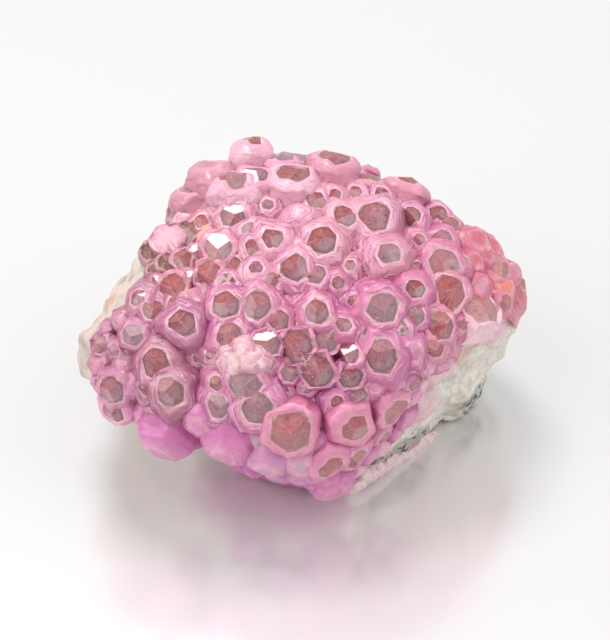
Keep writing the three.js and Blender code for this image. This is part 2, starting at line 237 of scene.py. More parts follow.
def meet(starts, directions, heights, near, far):  # the first point on each ray at its height over the form
    stride = 0.4
    t = np.arange(near, far, stride)
    along = starts[:, None, :] + directions[:, None, :] * t[None, :, None]
    distance = outside(along)
    below = distance < heights[:, None]
    hit = below.any(axis=1)
    first = np.where(hit, below.argmax(axis=1), distance.argmin(axis=1))
    high = t[first]
    low = high - np.where(hit, stride, 0)
    for _ in range(20):  # halvings of the stride
        half = (low + high) / 2
        inside = outside(starts + directions * half[:, None]) < heights
        high = np.where(hit & inside, half, high)
        low = np.where(hit & ~inside, half, low)
    return starts + directions * high[:, None]


def meetSheet(points, heights):  # where the lines of sight through sheet points meet those heights
    flat = np.array(points, dtype=float) - np.array(sheet["centre"])
    targets = middle + np.outer(flat[:, 0] * sheet["step"], sheetRight)
    targets += np.outer(-flat[:, 1] * sheet["step"], sheetUp)
    rays = targets - eye
    rays /= np.linalg.norm(rays, axis=1, keepdims=True)
    starts = np.tile(eye, (len(points), 1))
    return meet(starts, rays, heights, sight["distance"] - searched, sight["distance"] + searched)


def scatter(index, salt):  # an even spread from 0 to 1, always the same for the same numbers
    value = math.sin(index * 12.9898 + salt * 78.233) * 4375.5453
    return value - math.floor(value)


def placeRows():
    rows = []
    for group in crystalGroups:
        for row in group["rows"]:
            own = dict(zip(("x", "y", "roof", "body", "look", "stand", "turn"), row))
            rows.append({**usual, **group, **own})
    body = np.array([row["body"] * sheet["step"] for row in rows])
    heights = crystal["rise"] * body * np.array([row["stand"] for row in rows])
    tips = meetSheet([(row["x"], row["y"]) for row in rows], heights)
    outwards = steepest(tips)
    placed = []
    for i, row in enumerate(rows):
        lean = row["lean"]
        if lean > 0:
            lean *= 2 - min(max(outwards[i] @ towardsEye, 0), 1)
        axis = outwards[i] * (1 - abs(lean)) + (towardsEye if lean > 0 else sheetUp) * abs(lean)
        axis /= np.linalg.norm(axis)
        placed.append({**row, "tip": tips[i], "axis": axis, "roof": row["roof"] * sheet["step"],
                       "body": body[i], "listed": True,
                       "turn": row["turn"] + crystal["turnRange"] * (scatter(i, 4) - 0.5),
                       "ends": "milky" if row["look"] in milkyLooks else "clear"})
    return placed


def strew(placed, kind, wanted):  # adds a kind of crystal at even steps round the rock, where there is room
    index = np.arange(kind["count"])
    up = 1 - 2 * (index + 0.5) / kind["count"]
    out = np.sqrt(1 - up * up)
    golden = math.pi * (3 - math.sqrt(5))
    directions = np.stack([np.cos(index * golden) * out, np.sin(index * golden) * out, up], axis=1)
    share = np.array([scatter(i, 1) for i in index])
    body = np.interp(share, (0, 1), kind["body"])
    heights = crystal["rise"] * kind["stand"] * body
    tips = meet(middle + directions * searched, -directions, heights, 0, searched)
    axes = steepest(tips)
    for i in index:
        near = any(np.linalg.norm(c["tip"] - tips[i]) - 2 / 3 * c["body"] < kind["apart"] for c in placed)
        if near or axes[i][0] < kind["leftmost"] or not wanted(tips[i], axes[i] @ towardsEye):
            continue
        roof = float(np.interp(scatter(i, 2), (0, 1), kind["roof"]))
        placed.append({**usual, "tip": tips[i], "axis": axes[i], "roof": roof, "body": body[i],
                       "turn": 360 * scatter(i, 3), "listed": False,
                       "ends": "clear" if scatter(i, 7) < kind["clearShare"] else "milky"})


def placeAll():
    placed = placeRows()

    def overTheCrest(tip, facing):
        return facing < farSide["facing"] and tip[2] - middle[2] > farSide["lowest"]

    def inHollow(tip, facing):
        around = sum(np.linalg.norm(c["tip"] - tip) < strewn["within"] for c in placed)
        return facing > strewn["facing"] and around >= strewn["neighbours"]

    strew(placed, farSide, overTheCrest)
    strew(placed, strewn, inHollow)
    return placed


lights = {  # metres and watts
    "keyLight": {"place": (-0.07, 0.13, 0.44), "size": 0.17, "power": 1.15},
    "leftLight": {"place": (-0.36, -0.2, 0.36), "size": 0.5, "power": 1.5},
    "rightLight": {"place": (0.4, -0.15, 0.4), "size": 0.5, "power": 1.0},
}


def srgb(code):  # "#rrggbb" to linear r, g, b, 1
    parts = [int(code[i:i + 2], 16) / 255 for i in (1, 3, 5)]
    return tuple(c / 12.92 if c <= 0.04045 else ((c + 0.055) / 1.055) ** 2.4 for c in parts) + (1.0,)


# Nodes are named by kind and operation. Their values go by name or number, or in the order of the sockets,
# and that is value, from, from, to, to for a MapRange.
def newMaterial(name):  # returns it without nodes, and the function that adds them
    material = bpy.data.materials.new(name)
    material.use_nodes = True
    tree = material.node_tree
    tree.nodes.clear()

    def add(kind, values=(), output=None):  # values are settings and links
        kind, _, operation = kind.partition(".")
        node = tree.nodes.new("ShaderNode" + kind)
        if operation:
            node.operation = operation
        for key, value in (values if isinstance(values, dict) else dict(enumerate(values))).items():
            if isinstance(value, bpy.types.NodeSocket):
                tree.links.new(value, node.inputs[key])
            elif key == "stops":
                ramp = node.color_ramp.elements
                while len(ramp) < len(value):
                    ramp.new(0.5)
                for stop, (position, colour) in zip(ramp, value):
                    stop.position = position
                    stop.color = srgb(colour)
            elif isinstance(key, int) or key in node.inputs.keys():
                node.inputs[key].default_value = srgb(value) if isinstance(value, str) else value
            else:
                setattr(node, key, value)
        return node.outputs[output] if output else next((o for o in node.outputs if o.enabled), None)

    return material, add


def newObject(name, data):
    piece = bpy.data.objects.new(name, data)
    scene.collection.objects.link(piece)
    return piece


def meshOf(bm, name):
    mesh = bpy.data.meshes.new(name)
    bm.to_mesh(mesh)
    bm.free()
    return mesh


def pointsOf(mesh):
    points = np.empty(len(mesh.vertices) * 3, dtype=np.float32)
    mesh.vertices.foreach_get("co", points)
    return points.reshape(-1, 3)


# What sets a crystal apart: the colours of its end and of its sides, and how strongly each shows. Where it
# is to glint, one face of its end mirrors the key light.
clearLooks = {
    "": {},
    "glint": {},
    "glowing": {"end": ("#c8767c", 0.75), "side": ("#cf7f90", 0.45)},
    "brown": {"end": ("#a85a56", 0.75), "side": ("#c2808e", 0.45)},
    "frosted": {"end": ("#a85a56", 0.75), "side": ("#ebc6d2", 0.45)},
    "tawny": {"end": ("#c47870", 0.75), "side": ("#f0d0da", 0.85)},
    "grey": {"end": ("#ab8b97", 0.6)},
    "red": {"end": ("#bc524e", 0.6), "side": ("#cf8890", 0.5)},
    "olive": {"end": ("#7a584a", 0.85), "side": ("#9c716a", 0.7)},
}
milkyLooks = {
    "cloudy": {"end": ("#cb8aa8", 0.4)},
    "magenta": {"end": ("#c67aa8", 0.8), "side": ("#c26ca2", 0.5)},
    "pale": {"end": ("#e6bccb", 0.5), "side": ("#e3b5c4", 0.8)},
    "dusk": {"end": ("#b37480", 0.8), "side": ("#bd7f8e", 0.65)},
    "ember": {"end": ("#dd7f66", 0.9), "side": ("#dd8a7c", 0.6)},
    "streaky": {"end": ("#b896aa", 0.7), "side": ("#c294b6", 0.5)},
    "ruby": {"end": ("#bc5666", 0.8), "side": ("#c05870", 0.85)},
    "edge": {"end": ("#ead6d4", 0.95), "side": ("#e6d0ce", 0.95)},
    "lavender": {"end": ("#d8a0ae", 1.0)},
    "cream": {"end": ("#dabfb6", 0.85), "side": ("#c9a2a2", 0.8)},
    "orange": {"end": ("#e2946c", 0.9), "side": ("#e0a083", 0.8)},
}
looks = {**clearLooks, **milkyLooks}


def endOutline(number, roof):  # plan points round a clear end, an uneven hexagon
    sides = []
    for k in range(6):
        facing = math.pi / 3 * k + crystal["askew"] * (scatter(number, 40 + k) - 0.5)
        far = 1.01 * roof * (1 + crystal["uneven"] * (scatter(number, 50 + k) - 0.5))
        sides.append((facing, far))
    corners = []
    for (a, p), (b, q) in zip(sides, sides[1:] + sides[:1]):
        cross = math.sin(b - a)
        corners.append(Vector(((p * math.sin(b) - q * math.sin(a)) / cross,
                               (q * math.cos(a) - p * math.cos(b)) / cross, 0)))
    points = []
    for k, corner in enumerate(corners):
        before = corners[k - 1]
        points += [before.lerp(corner, i / crystal["perSide"]) for i in range(crystal["perSide"])]
    return points


def roofOver(points, number, roof):  # gives outline points their heights, returns tip, ridges and facings
    aside = crystal["aside"] * roof
    tip = Vector((aside * (scatter(number, 5) - 0.5) * 2, aside * (scatter(number, 6) - 0.5) * 2, 0))
    count = len(points)
    ends = [crystal["perSide"] // 2 + k * count // 3 for k in range(3)]
    for k, end in enumerate(ends):
        slope = crystal["ridgeSlope"] + crystal["slopeRange"] * (scatter(number, 20 + k) - 0.5)
        points[end].z = -(points[end] - tip).length * math.tan(math.radians(slope))
    facings = []
    for k in range(3):
        first, last = ends[k], ends[(k + 1) % 3]
        facing = (points[first] - tip).cross(points[last] - tip).normalized()
        facings.append(facing)
        for j in range(first + 1, last if last > first else last + count):
            point = points[j % count]
            point.z = -(facing.x * (point.x - tip.x) + facing.y * (point.y - tip.y)) / facing.z
    return tip, ends, facings


def placeOf(spec):  # the tip at its place, the axis outwards, turn 0 with a roof ridge up the sheet
    axis = Vector(spec["axis"])
    across = Vector(sheetUp).cross(axis).normalized()
    place = Matrix((across.cross(axis), across, axis)).transposed().to_4x4()
    place.translation = Vector(spec["tip"])
    return place @ Matrix.Rotation(math.radians(spec["turn"]), 4, "Z")


def turnedInLight(spec, facings):  # a face mirrors the key light only where the look asks for it
    place = placeOf(spec)
    tip = place.translation.copy()
    toLight = (Vector(lights["keyLight"]["place"]) / mm - tip).normalized()
    mirror = (toLight + (Vector(eye) - tip).normalized()).normalized()
    if spec["look"] == "glint":
        facing = max(((place.to_3x3() @ n).normalized() for n in facings), key=mirror.dot)
        turn = facing.rotation_difference(mirror).to_matrix().to_4x4()
        return Matrix.Translation(tip) @ turn @ Matrix.Translation(-tip) @ place
    for _ in range(crystal["tries"] if spec["listed"] else 0):
        if min((place.to_3x3() @ n).angle(mirror) for n in facings) > math.radians(crystal["mirrorAngle"]):
            break
        place = place @ Matrix.Rotation(math.radians(crystal["tryTurn"]), 4, "Z")
    return place


def ease(value, low, high):
    share = min(max((value - low) / (high - low), 0), 1)
    return share * share * (3 - 2 * share)


def blendOf(tints):  # one colour from colours with strengths, and the strength of the whole
    total = sum(strength for code, strength in tints)
    if total <= 0:
        return (0.5, 0.5, 0.5, 0.0)
    mixed = sum((np.array(srgb(code)[:3]) * strength for code, strength in tints), np.zeros(3)) / total
    return (*mixed, min(total, 1.0))


def tintsOf(number, spec):  # a crystal's own colours, by its look and by where it grows
    x, _, z = spec["tip"]  # mm
    salmon = max(ease(x, 15, 20) * ease(z, 8, 13), 0.3 * scatter(number, 30) * ease(z, 20, 30))
    magenta = max(ease(-z, -13, -7) * ease(-x, -8, 2), 0.35 * scatter(number, 31) ** 2)
    pale = ease(z, 27, 32) * (0.25 + 0.25 * scatter(number, 33))
    dusty = 0.8 * ease(-x, 7, 12) * ease(z, 15, 19)
    deep = 0.62 * ease(z, 15, 22) * (1 - dusty)
    side = [("#cf717b", 0.85 * salmon), ("#c05fa4", magenta * (1 - salmon)), ("#ecc9cf", pale),
            ("#925460", dusty), ("#b45c7e", deep), ("#e2a6c4", 0.5 * ease(-x, 15, 19) * (1 - dusty))]
    milk = max(0.4 * scatter(number, 32) ** 2, spec["veil"])
    tints = {"end": [("#c87a76", 0.7 * salmon), ("#cf94aa", milk)], "side": side}
    for part, own in looks[spec["look"]].items():
        tints[part] = [(code, strength * (1 - own[1])) for code, strength in tints[part]] + [own]
    return blendOf(tints["end"]), blendOf(tints["side"])


def profileOf(spec):  # the body's radius, how far it stands out past the roof, and the course of the side
    spread = spec["spread"]
    body = spec["body"] * crystal["widen"] + crystal["skirt"] * spread
    outward = steepest(spec["tip"][None])[0]
    height = float(outside(spec["tip"][None])[0])
    height /= max(crystal["leastUpright"], float(outward @ spec["axis"]))
    length = height + spec["root"] * spec["body"] + crystal["deeper"]
    slopes = crystal["barrelSlopes"] if spec["barrel"] else crystal["slopes"]
    first, full, last = (math.radians(a) for a in slopes)
    narrow = math.radians(crystal["narrowSlope"])
    full += (1 - spread) * (narrow - full)
    last += (1 - spread) * (narrow - last)
    swell = max(body - spec["roof"], crystal["leastSwell"])
    width = math.sin(full) - math.sin(first)
    height = math.cos(first) - math.cos(full)
    shoulder = swell / width * height
    length = max(length, 1.2 * shoulder)  # the root goes on below the body

    def sideAt(down):  # the share of the way out to the body, mm down, and mm of the root's flare
        share = down * (0.6 + 0.4 * down)  # the rings lie closer together near the end
        if share < crystal["shoulder"]:
            turn = first + (full - first) * share / crystal["shoulder"]
            out = (math.sin(turn) - math.sin(first)) / width
            return out, shoulder * (math.cos(first) - math.cos(turn)) / height, 0
        rest = (share - crystal["shoulder"]) / (1 - crystal["shoulder"]) * (length - shoulder)
        return 1, shoulder + rest, rest / math.tan((full + last) / 2) * spread

    return body, swell, sideAt


def mendFaces(bm):  # leaves no face with more than four corners, and turns all of them outwards
    bmesh.ops.triangulate(bm, faces=[f for f in bm.faces if len(f.verts) > 4])
    bmesh.ops.recalc_face_normals(bm, faces=bm.faces[:])


def cutAtFloor(bm):  # cuts off what would go through the floor
    geometry = bm.verts[:] + bm.edges[:] + bm.faces[:]
    cut = bmesh.ops.bisect_plane(bm, geom=geometry, dist=1e-7, plane_co=(0, 0, 0), plane_no=(0, 0, 1),
                                 clear_inner=True)["geom_cut"]
    bmesh.ops.edgeloop_fill(bm, edges=[e for e in cut if isinstance(e, bmesh.types.BMEdge)])
    mendFaces(bm)


def growCrystal(number, spec):  # a closed mesh in mm round its own axis, then put in its place
    roof = spec["roof"]
    body, swell, sideAt = profileOf(spec)
    outline = endOutline(number, roof)
    tip, ends, facings = roofOver(outline, number, roof)
    columns = len(outline)
    bm = bmesh.new()
    bmesh.ops.create_cone(bm, cap_ends=True, segments=columns, radius1=1, radius2=1, depth=1)
    upright = [e for e in bm.edges if abs(e.verts[0].co.z - e.verts[1].co.z) > 0.5]
    bmesh.ops.subdivide_edges(bm, edges=upright, cuts=crystal["rings"] - 1, use_grid_fill=True)
    numbers = {name: bm.verts.layers.float.new(name)
               for name in ("known", "inward", "depth", "lines", "seam", "warmth")}
    colours = {name: bm.verts.layers.float_color.new(name)
               for name in ("endTint", "sideTint", "ridges", "tones")}
    for v in bm.verts:
        down = 0.5 - v.co.z
        column = round(math.atan2(v.co.y, v.co.x) / (2 * math.pi) * columns) % columns
        point = outline[column]
        out, drop, flare = sideAt(down)
        wide = body * (1 + crystal["follows"] * (point.xy.length / roof - 1)) + flare
        reach = point.xy.length + (wide - point.xy.length) * out
        v[numbers["depth"]] = math.hypot(out * swell, drop)
        wave = crystal["bendsPerMm"]  # the number shifts them, so that no two crystals bend alike
        spot = Vector((point.x * wave, point.y * wave, drop * 0.5 + number * 7.1))
        bend = noise.noise(spot)
        lump = noise.noise(spot * crystal["lumpsToABend"] + Vector((0, 0, reach * 0.9)))
        across = min(1, out * 2.5)  # none of it at the clear end's edge
        step = math.fmod(v[numbers["depth"]] / crystal["ledgeEvery"] + 10 + 0.8 * bend, 1) - 0.5
        reach *= 1 + crystal["bends"] * bend * across
        reach += (crystal["ledge"] * step * spec["lines"] + crystal["lump"] * lump) * across
        drop += crystal["lump"] * lump * across
        ahead = point.xy.normalized()
        v.co = Vector((ahead.x * reach, ahead.y * reach, point.z * (1 - crystal["level"] * out) - drop))
        if down < 0.001:  # a corner counts as further out, and shares are of the two ridges beside it
            beside = range(-crystal["perSide"], crystal["perSide"] + 1)
            near = [outline[(column + k) % columns].xy.length for k in beside]
            v[numbers["inward"]] = 1 - point.xy.length / (sum(near) / len(near))
            face = (column - ends[0]) % columns * 3 // columns
            one, other = outline[ends[face]] - tip, outline[ends[(face + 1) % 3]] - tip
            whole = one.xy.cross(other.xy)
            shares = [0.0, 0.0, 0.0, 1.0]
            shares[face] = roof * (point - tip).xy.cross(other.xy) / whole
            shares[(face + 1) % 3] = roof * one.xy.cross((point - tip).xy) / whole
            v[colours["ridges"]] = shares
    roofFace = max((f for f in bm.faces if len(f.verts) == columns), key=lambda f: f.calc_center_median().z)
    bmesh.ops.poke(bm, faces=[roofFace])
    peak = max(bm.verts, key=lambda v: len(v.link_edges))
    peak.co = tip
    peak[numbers["inward"]] = 1
    peak[colours["ridges"]] = (0, 0, 0, 1)
    if spec["ends"] == "clear":
        for f in peak.link_faces:
            f.material_index = 1
    rims = [e for e in bm.edges if sum(f.material_index == 1 for f in e.link_faces) == 1]
    bmesh.ops.bevel(bm, geom=rims, offset=crystal["rim"], offset_type="OFFSET", affect="EDGES",
                    segments=1, profile=0.5, material=0)
    mendFaces(bm)
    place = turnedInLight(spec, facings)
    endTint, sideTint = tintsOf(number, spec)
    paintedBacklightSide = Vector(-0.57 * sheetRight + 0.82 * sheetUp)  # up and left, where light comes through
    # painted backlight: a clear face is warmer the more it is turned to the side where light comes through
    tones = [0.5 + 1.3 * (place.to_3x3() @ facing - place.to_3x3().col[2]).dot(paintedBacklightSide)
             + 0.3 * (scatter(number, 70 + k) - 0.5) for k, facing in enumerate(facings)]
    for v in bm.verts:
        # painted backlight across the end: more towards the side where light comes through
        aside = place.to_3x3() @ Vector((v.co.x, v.co.y, 0))
        v[numbers["warmth"]] = min(max(aside.dot(paintedBacklightSide) / roof, -1.5), 1.5)
        v[numbers["known"]] = 1
        v[numbers["lines"]] = spec["lines"]
        v[colours["endTint"]] = endTint
        v[colours["sideTint"]] = sideTint
        v[colours["tones"]] = (*tones, 1)
    bmesh.ops.transform(bm, matrix=Matrix.Scale(mm, 4) @ place, verts=bm.verts[:])
    if min(v.co.z for v in bm.verts) < 0:
        cutAtFloor(bm)
    return meshOf(bm, "crystal")


def thinLines(add, field, width, most):  # curved lines where a noise field passes its middle
    away = add("Math.SUBTRACT", (field, 0.5))
    away = add("Math.ABSOLUTE", (away,))
    return add("MapRange", (away, width, 0.0, 0.0, most))


def milkySides():  # cobaltoan calcite grown in fine steps: milky, softly lit from within, with a wet shine
    milky, add = newMaterial("milkyCobaltoanCalcite")
    coords = add("TexCoord", output="Object")
    depth, inward, rise, lines, seam = [
        add("Attribute", {"attribute_name": name}, "Fac")
        for name in ("depth", "inward", "rise", "lines", "seam")]
    side, sideShare, end, endShare = [
        add("Attribute", {"attribute_name": name}, part)
        for name in ("sideTint", "endTint") for part in ("Color", "Alpha")]
    wander, fine, patch, folded = [
        add("TexNoise", {"Vector": coords, "Scale": 1 / (size * mm), "Detail": detail, "Roughness": rough})
        for size, detail, rough in ((1.6, 3.0, 0.6), (0.5, 3.0, 0.5), (3.5, 2.0, 0.5), (1.1, 4.0, 0.5))]

    # dusty beside the clear end, pink down the side, and darker magenta in the hollows, where it is partly
    # painted shade
    shadedHollow = add("MapRange", (rise, 1.6, -1.4))
    level = add("Math.MULTIPLY_ADD", (wander, 3.4, depth))
    level = add("Math.MULTIPLY_ADD", (shadedHollow, 4.0, level))
    level = add("MapRange", (level, 1.2, 5.2))
    colour = add("ValToRGB", {"Fac": level, "stops": [
        (0.0, "#d8a9ae"), (0.1, "#d99eab"), (0.25, "#d590ac"), (0.48, "#c979a5"), (0.85, "#b85a90")]})
    mottled = add("MapRange", (fine, 0.5, 0.36, 0.0, 0.45))

    # the crystal's own colour, stronger down the side, and the colour of its end where the end is milky
    deeper = add("MapRange", (level, 0.0, 0.5, 0.45))
    sideShare = add("Math.MULTIPLY", (sideShare, deeper))
    within = add("Math.MULTIPLY_ADD", (fine, 0.5, inward))
    within = add("MapRange", (within, 0.3, 0.7))
    endShare = add("Math.MULTIPLY", (endShare, within))

    # growth layers run round each crystal, 0.2 to 0.4 mm apart, in bundles that fade out
    warp = add("Math.ADD", (wander, depth))
    along = add("CombineXYZ", {"Z": warp})
    layers = add("VectorMath.MULTIPLY", (coords, [0.6 / mm] * 3))
    layers = add("VectorMath.MULTIPLY_ADD", (along, (0, 0, 4.5), layers))
    layers = add("TexNoise", {"Vector": layers, "Scale": 1.0, "Detail": 3.0, "Roughness": 0.65})
    shown = add("MapRange", (patch, 0.4, 0.56, 0.3))
    shown = add("Math.MULTIPLY", (shown, lines))
    dark = add("MapRange", (layers, 0.48, 0.4))
    lower = add("MapRange", (level, 0.05, 0.35, 0.2))
    for share in (lower, shown):
        dark = add("Math.MULTIPLY", (dark, share))
    pale = add("MapRange", (layers, 0.53, 0.66, 0.0, 0.55))
    pale = add("Math.MULTIPLY", (pale, shown))

    # a soft pale edge round the end
    edge = add("Math.MULTIPLY_ADD", (inward, 1.5, depth))
    edge = add("MapRange", (edge, 0.3, 0.05))
    strong = add("Math.MULTIPLY_ADD", (lines, 0.35, 0.1))
    fading = add("MapRange", (wander, 0.4, 0.58, 0.3))
    for share in (strong, fading):
        edge = add("Math.MULTIPLY", (edge, share))

    # dark lines in the creases where crystals grew into each other, a painted shade, and fine wrinkles low
    # in the hollows
    seam = add("Math.MULTIPLY_ADD", (wander, 1.3, seam))
    seam = add("MapRange", (seam, 1.2, 1.75, 0.0, 0.8))
    low = add("MapRange", (shadedHollow, 0.3, 0.75, 0.15))
    wrinkle = add("Math.MULTIPLY", (thinLines(add, folded, 0.018, 0.75), low))

    for share, tint in ((mottled, "#bd6a98"), (sideShare, side), (endShare, end), (dark, "#9a4d80"),
                        (pale, "#f0d0dc"), (edge, "#e6c6cc"), (seam, "#9c4a76"), (wrinkle, "#93406f")):
        colour = add("Mix", {"data_type": "RGBA", 0: share, 6: colour, 7: tint})
    height = add("Math.MULTIPLY", (layers, shown))
    height = add("Math.MULTIPLY_ADD", (fine, 0.6, height))
    bump = add("Bump", {"Height": height, "Strength": 0.8, "Distance": 0.14 * mm})
    shader = add("BsdfPrincipled", {
        "Base Color": colour, "Normal": bump, "Roughness": 0.42, "IOR": 1.6, "Subsurface Weight": 0.35,
        "Subsurface Radius": (0.9, 0.45, 0.65), "Subsurface Scale": 0.6 * mm, "Coat Weight": 0.2,
        "Coat Roughness": 0.15, "Coat IOR": 1.5})
    add("OutputMaterial", {"Surface": shader})
    return milky


def clearEnds():  # the same calcite where it grew clear: flat glassy faces over a dusky rose inside
    clear, add = newMaterial("clearCobaltoanCalcite")
    coords = add("TexCoord", output="Object")
    inward, warmth, ridges, tones, own, ownShare = [
        add("Attribute", {"attribute_name": name}, part)
        for name, part in (
            ("inward", "Fac"), ("warmth", "Fac"), ("ridges", "Color"), ("tones", "Color"),
            ("endTint", "Color"), ("endTint", "Alpha"))]
    cloud, wisp, grit, mist = [
        add("TexNoise", {"Vector": coords, "Scale": 1 / (size * mm), "Detail": detail, "Roughness": rough})
        for size, detail, rough in ((1.3, 3.0, 0.5), (0.6, 3.0, 0.5), (0.22, 1.0, 0.5), (0.9, 4.0, 0.65))]

    # each of the three faces has its own tone, partly at random and partly painted backlight: redder the
    # more it is turned to where light comes through from behind
    shares = add("SeparateColor", {"Color": ridges}).node.outputs
    least = largest = total = shares[0]
    for share in (shares[1], shares[2]):
        least = add("Math.MINIMUM", (least, share))
        largest = add("Math.MAXIMUM", (largest, share))
        total = add("Math.ADD", (total, share))
    on = [add("Math.COMPARE", (shares[k], least, 0.001)) for k in (2, 0, 1)]
    on = add("CombineXYZ", on)
    tone = add("VectorMath.DOT_PRODUCT", (on, tones), "Value")
    tone = add("Math.MULTIPLY_ADD", (tone, 0.4, cloud))
    tone = add("Math.MULTIPLY_ADD", (warmth, 0.3, tone))
    tone = add("Math.SUBTRACT", (tone, 0.22))
    colour = add("ValToRGB", {"Fac": tone, "stops": [
        (0.1, "#ab8e9a"), (0.32, "#a6727f"), (0.5, "#a05461"), (0.7, "#a1474f"), (0.95, "#b05f59")]})
    # painted reflection: greyer on the side turned away from the light
    away = add("MapRange", (warmth, 0.0, -0.9, 0.0, 0.45))

    # healed cracks, mist and darker places inside, pale grit and dark pits
    crack = thinLines(add, wisp, 0.022, 0.55)
    misty, murky, speck, pit = [
        add("MapRange", (field, low, high, 0.0, most))
        for field, low, high, most in ((mist, 0.55, 0.72, 0.55), (mist, 0.44, 0.3, 0.8),
                                       (grit, 0.69, 0.76, 0.45), (grit, 0.32, 0.25, 0.5))]

    # a faint pale line along the ridges, a painted highlight: the middle one of the shares is 0 there
    ridge = add("Math.SUBTRACT", (total, largest))
    ridge = add("MapRange", (ridge, 0.09, 0.01, 0.0, 0.6))
    ridge = add("Math.MULTIPLY", (ridge, wisp))

    # dark inside the edge where the crystal has no colour of its own, and milky along it and in the corners
    border = add("Math.MULTIPLY_ADD", (wisp, 0.3, inward))
    plain = add("Math.SUBTRACT", (1.0, ownShare))
    shade = add("MapRange", (border, 0.48, 0.3, 0.0, 0.75))
    shade = add("Math.MULTIPLY", (shade, plain))
    rim = add("MapRange", (border, 0.27, 0.18))
    fading = add("MapRange", (cloud, 0.42, 0.56, 0.2))
    rim = add("Math.MULTIPLY", (rim, fading))

    for share, tint in ((ownShare, own), (away, "#ac8a92"), (misty, "#cda9b0"), (murky, "#7a3c48"),
                        (crack, "#d3a0a4"), (speck, "#f0dede"), (pit, "#74404c"), (ridge, "#d8a8a4"),
                        (shade, "#7d424c"), (rim, "#dcb4bb")):
        colour = add("Mix", {"data_type": "RGBA", 0: share, 6: colour, 7: tint})
    shader = add("BsdfPrincipled", {
        "Base Color": colour, "Roughness": 0.06, "IOR": 1.6, "Transmission Weight": 0.3,
        "Subsurface Weight": 0.5, "Subsurface Radius": (1.0, 0.5, 0.5), "Subsurface Scale": 1.2 * mm})
    soak = add("VolumeAbsorption", {"Color": "#d98a98", "Density": 90.0})
    add("OutputMaterial", {"Surface": shader, "Volume": soak})
    return clear


def inClearSets(meshes):  # puts meshes that don't touch together, so that few solids have to be joined
    sets = []
    for mesh in meshes:
        corners = pointsOf(mesh)
        box = (corners.min(axis=0), corners.max(axis=0))
        for boxes, members in sets:
            if all((box[0] > b[1]).any() or (box[1] < b[0]).any() for b in boxes):
                break
        else:
            boxes, members = [], []
            sets.append((boxes, members))
        boxes.append(box)
        members.append(mesh)
    return [members for boxes, members in sets]


def unite(meshes):  # joins closed meshes into one solid
    pieces = []
    for members in inClearSets(meshes):
        bm = bmesh.new()
        for mesh in members:
            bm.from_mesh(mesh)
        gathered = members[0].copy()
        bm.to_mesh(gathered)
        bm.free()
        pieces.append(gathered)
    first = newObject("growing", pieces[0])
    others = bpy.data.collections.new("others")
    scene.collection.children.link(others)
    for mesh in pieces[1:]:
        others.objects.link(bpy.data.objects.new("growing", mesh))
    join = first.modifiers.new("join", "BOOLEAN")
    join.operation = "UNION"
    join.operand_type = "COLLECTION"
    join.collection = others
    join.solver = "MANIFOLD"
    depsgraph = bpy.context.evaluated_depsgraph_get()
    joined = bpy.data.meshes.new_from_object(first.evaluated_get(depsgraph))
    for piece in [first] + list(others.objects):
        bpy.data.objects.remove(piece)
    bpy.data.collections.remove(others)
    print("joined", len(meshes), "crystals in", len(pieces), "sets")
    return joined


def carryToSeams(bm):  # a join leaves its new points without values, so they take their neighbours'
    known, seam = (bm.verts.layers.float[name] for name in ("known", "seam"))
    layers = [layer for layer in bm.verts.layers.float.values() if layer not in (known, seam)]
    colours = bm.verts.layers.float_color.values()
    lost = [v for v in bm.verts if v[known] < 0.5]
    for v in lost:
        v[seam] = 1
    while lost:
        left, found = [], []
        for v in lost:
            near = [w for w in (e.other_vert(v) for e in v.link_edges) if w[known] > 0.5]
            (found if near else left).append((v, near))
        for v, near in found:
            for layer in layers:
                v[layer] = sum(w[layer] for w in near) / len(near)
            for layer in colours:
                v[layer] = sum((Vector(w[layer]) for w in near), Vector((0, 0, 0, 0))) / len(near)
        for v, near in found:
            v[known] = 1
        if not found:
            break
        lost = [v for v, near in left]


def makeCrust(placed):
    meshes = [growCrystal(number, spec) for number, spec in enumerate(placed)]
    for material in (milkySides(), clearEnds()):
        for mesh in meshes:
            mesh.materials.append(material)
    print("crystals grown:", len(meshes))
    joined = unite(meshes)
    joined.name = "calciteCrust"
    crust = newObject("calciteCrust", joined)
    bm = bmesh.new()
    bm.from_mesh(joined)
    bmesh.ops.remove_doubles(bm, verts=bm.verts[:], dist=crystal["seamMerge"] * mm)
    bmesh.ops.dissolve_degenerate(bm, edges=bm.edges[:], dist=crystal["seamMerge"] * mm / 2)
    carryToSeams(bm)
    sharp, flat = math.radians(50), 0.01
    for f in bm.faces:
        f.smooth = f.material_index == 0
    for e in bm.edges:
        clearBeside = any(f.material_index == 1 for f in e.link_faces)
        e.smooth = len(e.link_faces) == 2 and e.calc_face_angle(0) < (flat if clearBeside else sharp)
    bm.to_mesh(joined)
    bm.free()
    # the milky sides get painted shade where rise is low, in the hollows
    rise = joined.attributes.new("rise", "FLOAT", "POINT")  # mm over the rock's form, low in the hollows
    rise.data.foreach_set("value", outside(pointsOf(joined) / mm).astype(np.float32))
    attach(crust, "root")
    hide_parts("crystal_crust")
    print("crust joined:", len(joined.polygons), "faces")


rock = {
    "cuts": 3,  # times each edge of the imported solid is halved
    "smooths": 8,  # rounds, after the second halving
    "lumps": ((6.0, 0.8), (2.8, 0.4), (1.5, 0.12)),  # mm across and mm high
    "shelf": 0.8,  # mm, the depth of a cleavage shelf
    "shelfEvery": 2.3,  # mm
    "inwards": 0.35,  # mm, the lumps and shelves lie this much lower
    "flat": 1.0,  # mm over the floor where they are at full height
    # what grew or weathered in places, at sheet points
    "darkPatch": ((472, 403), (479, 399), (485, 393)),
    "tanPocket": ((468, 361), (474, 356)),
    "tanBlotches": ((88, 316), (104, 300), (146, 243)),
    "oreLine": ((370, 473), (386, 464), (402, 452), (416, 440)),
    "oreDots": ((435, 405), (126, 280), (129, 265)),
    "pinkEdge": ((362, 490), (384, 474), (408, 458), (430, 450), (433, 384), (430, 398), (426, 412),
                 (472, 340), (488, 336), (500, 330), (509, 318), (455, 364)),
}


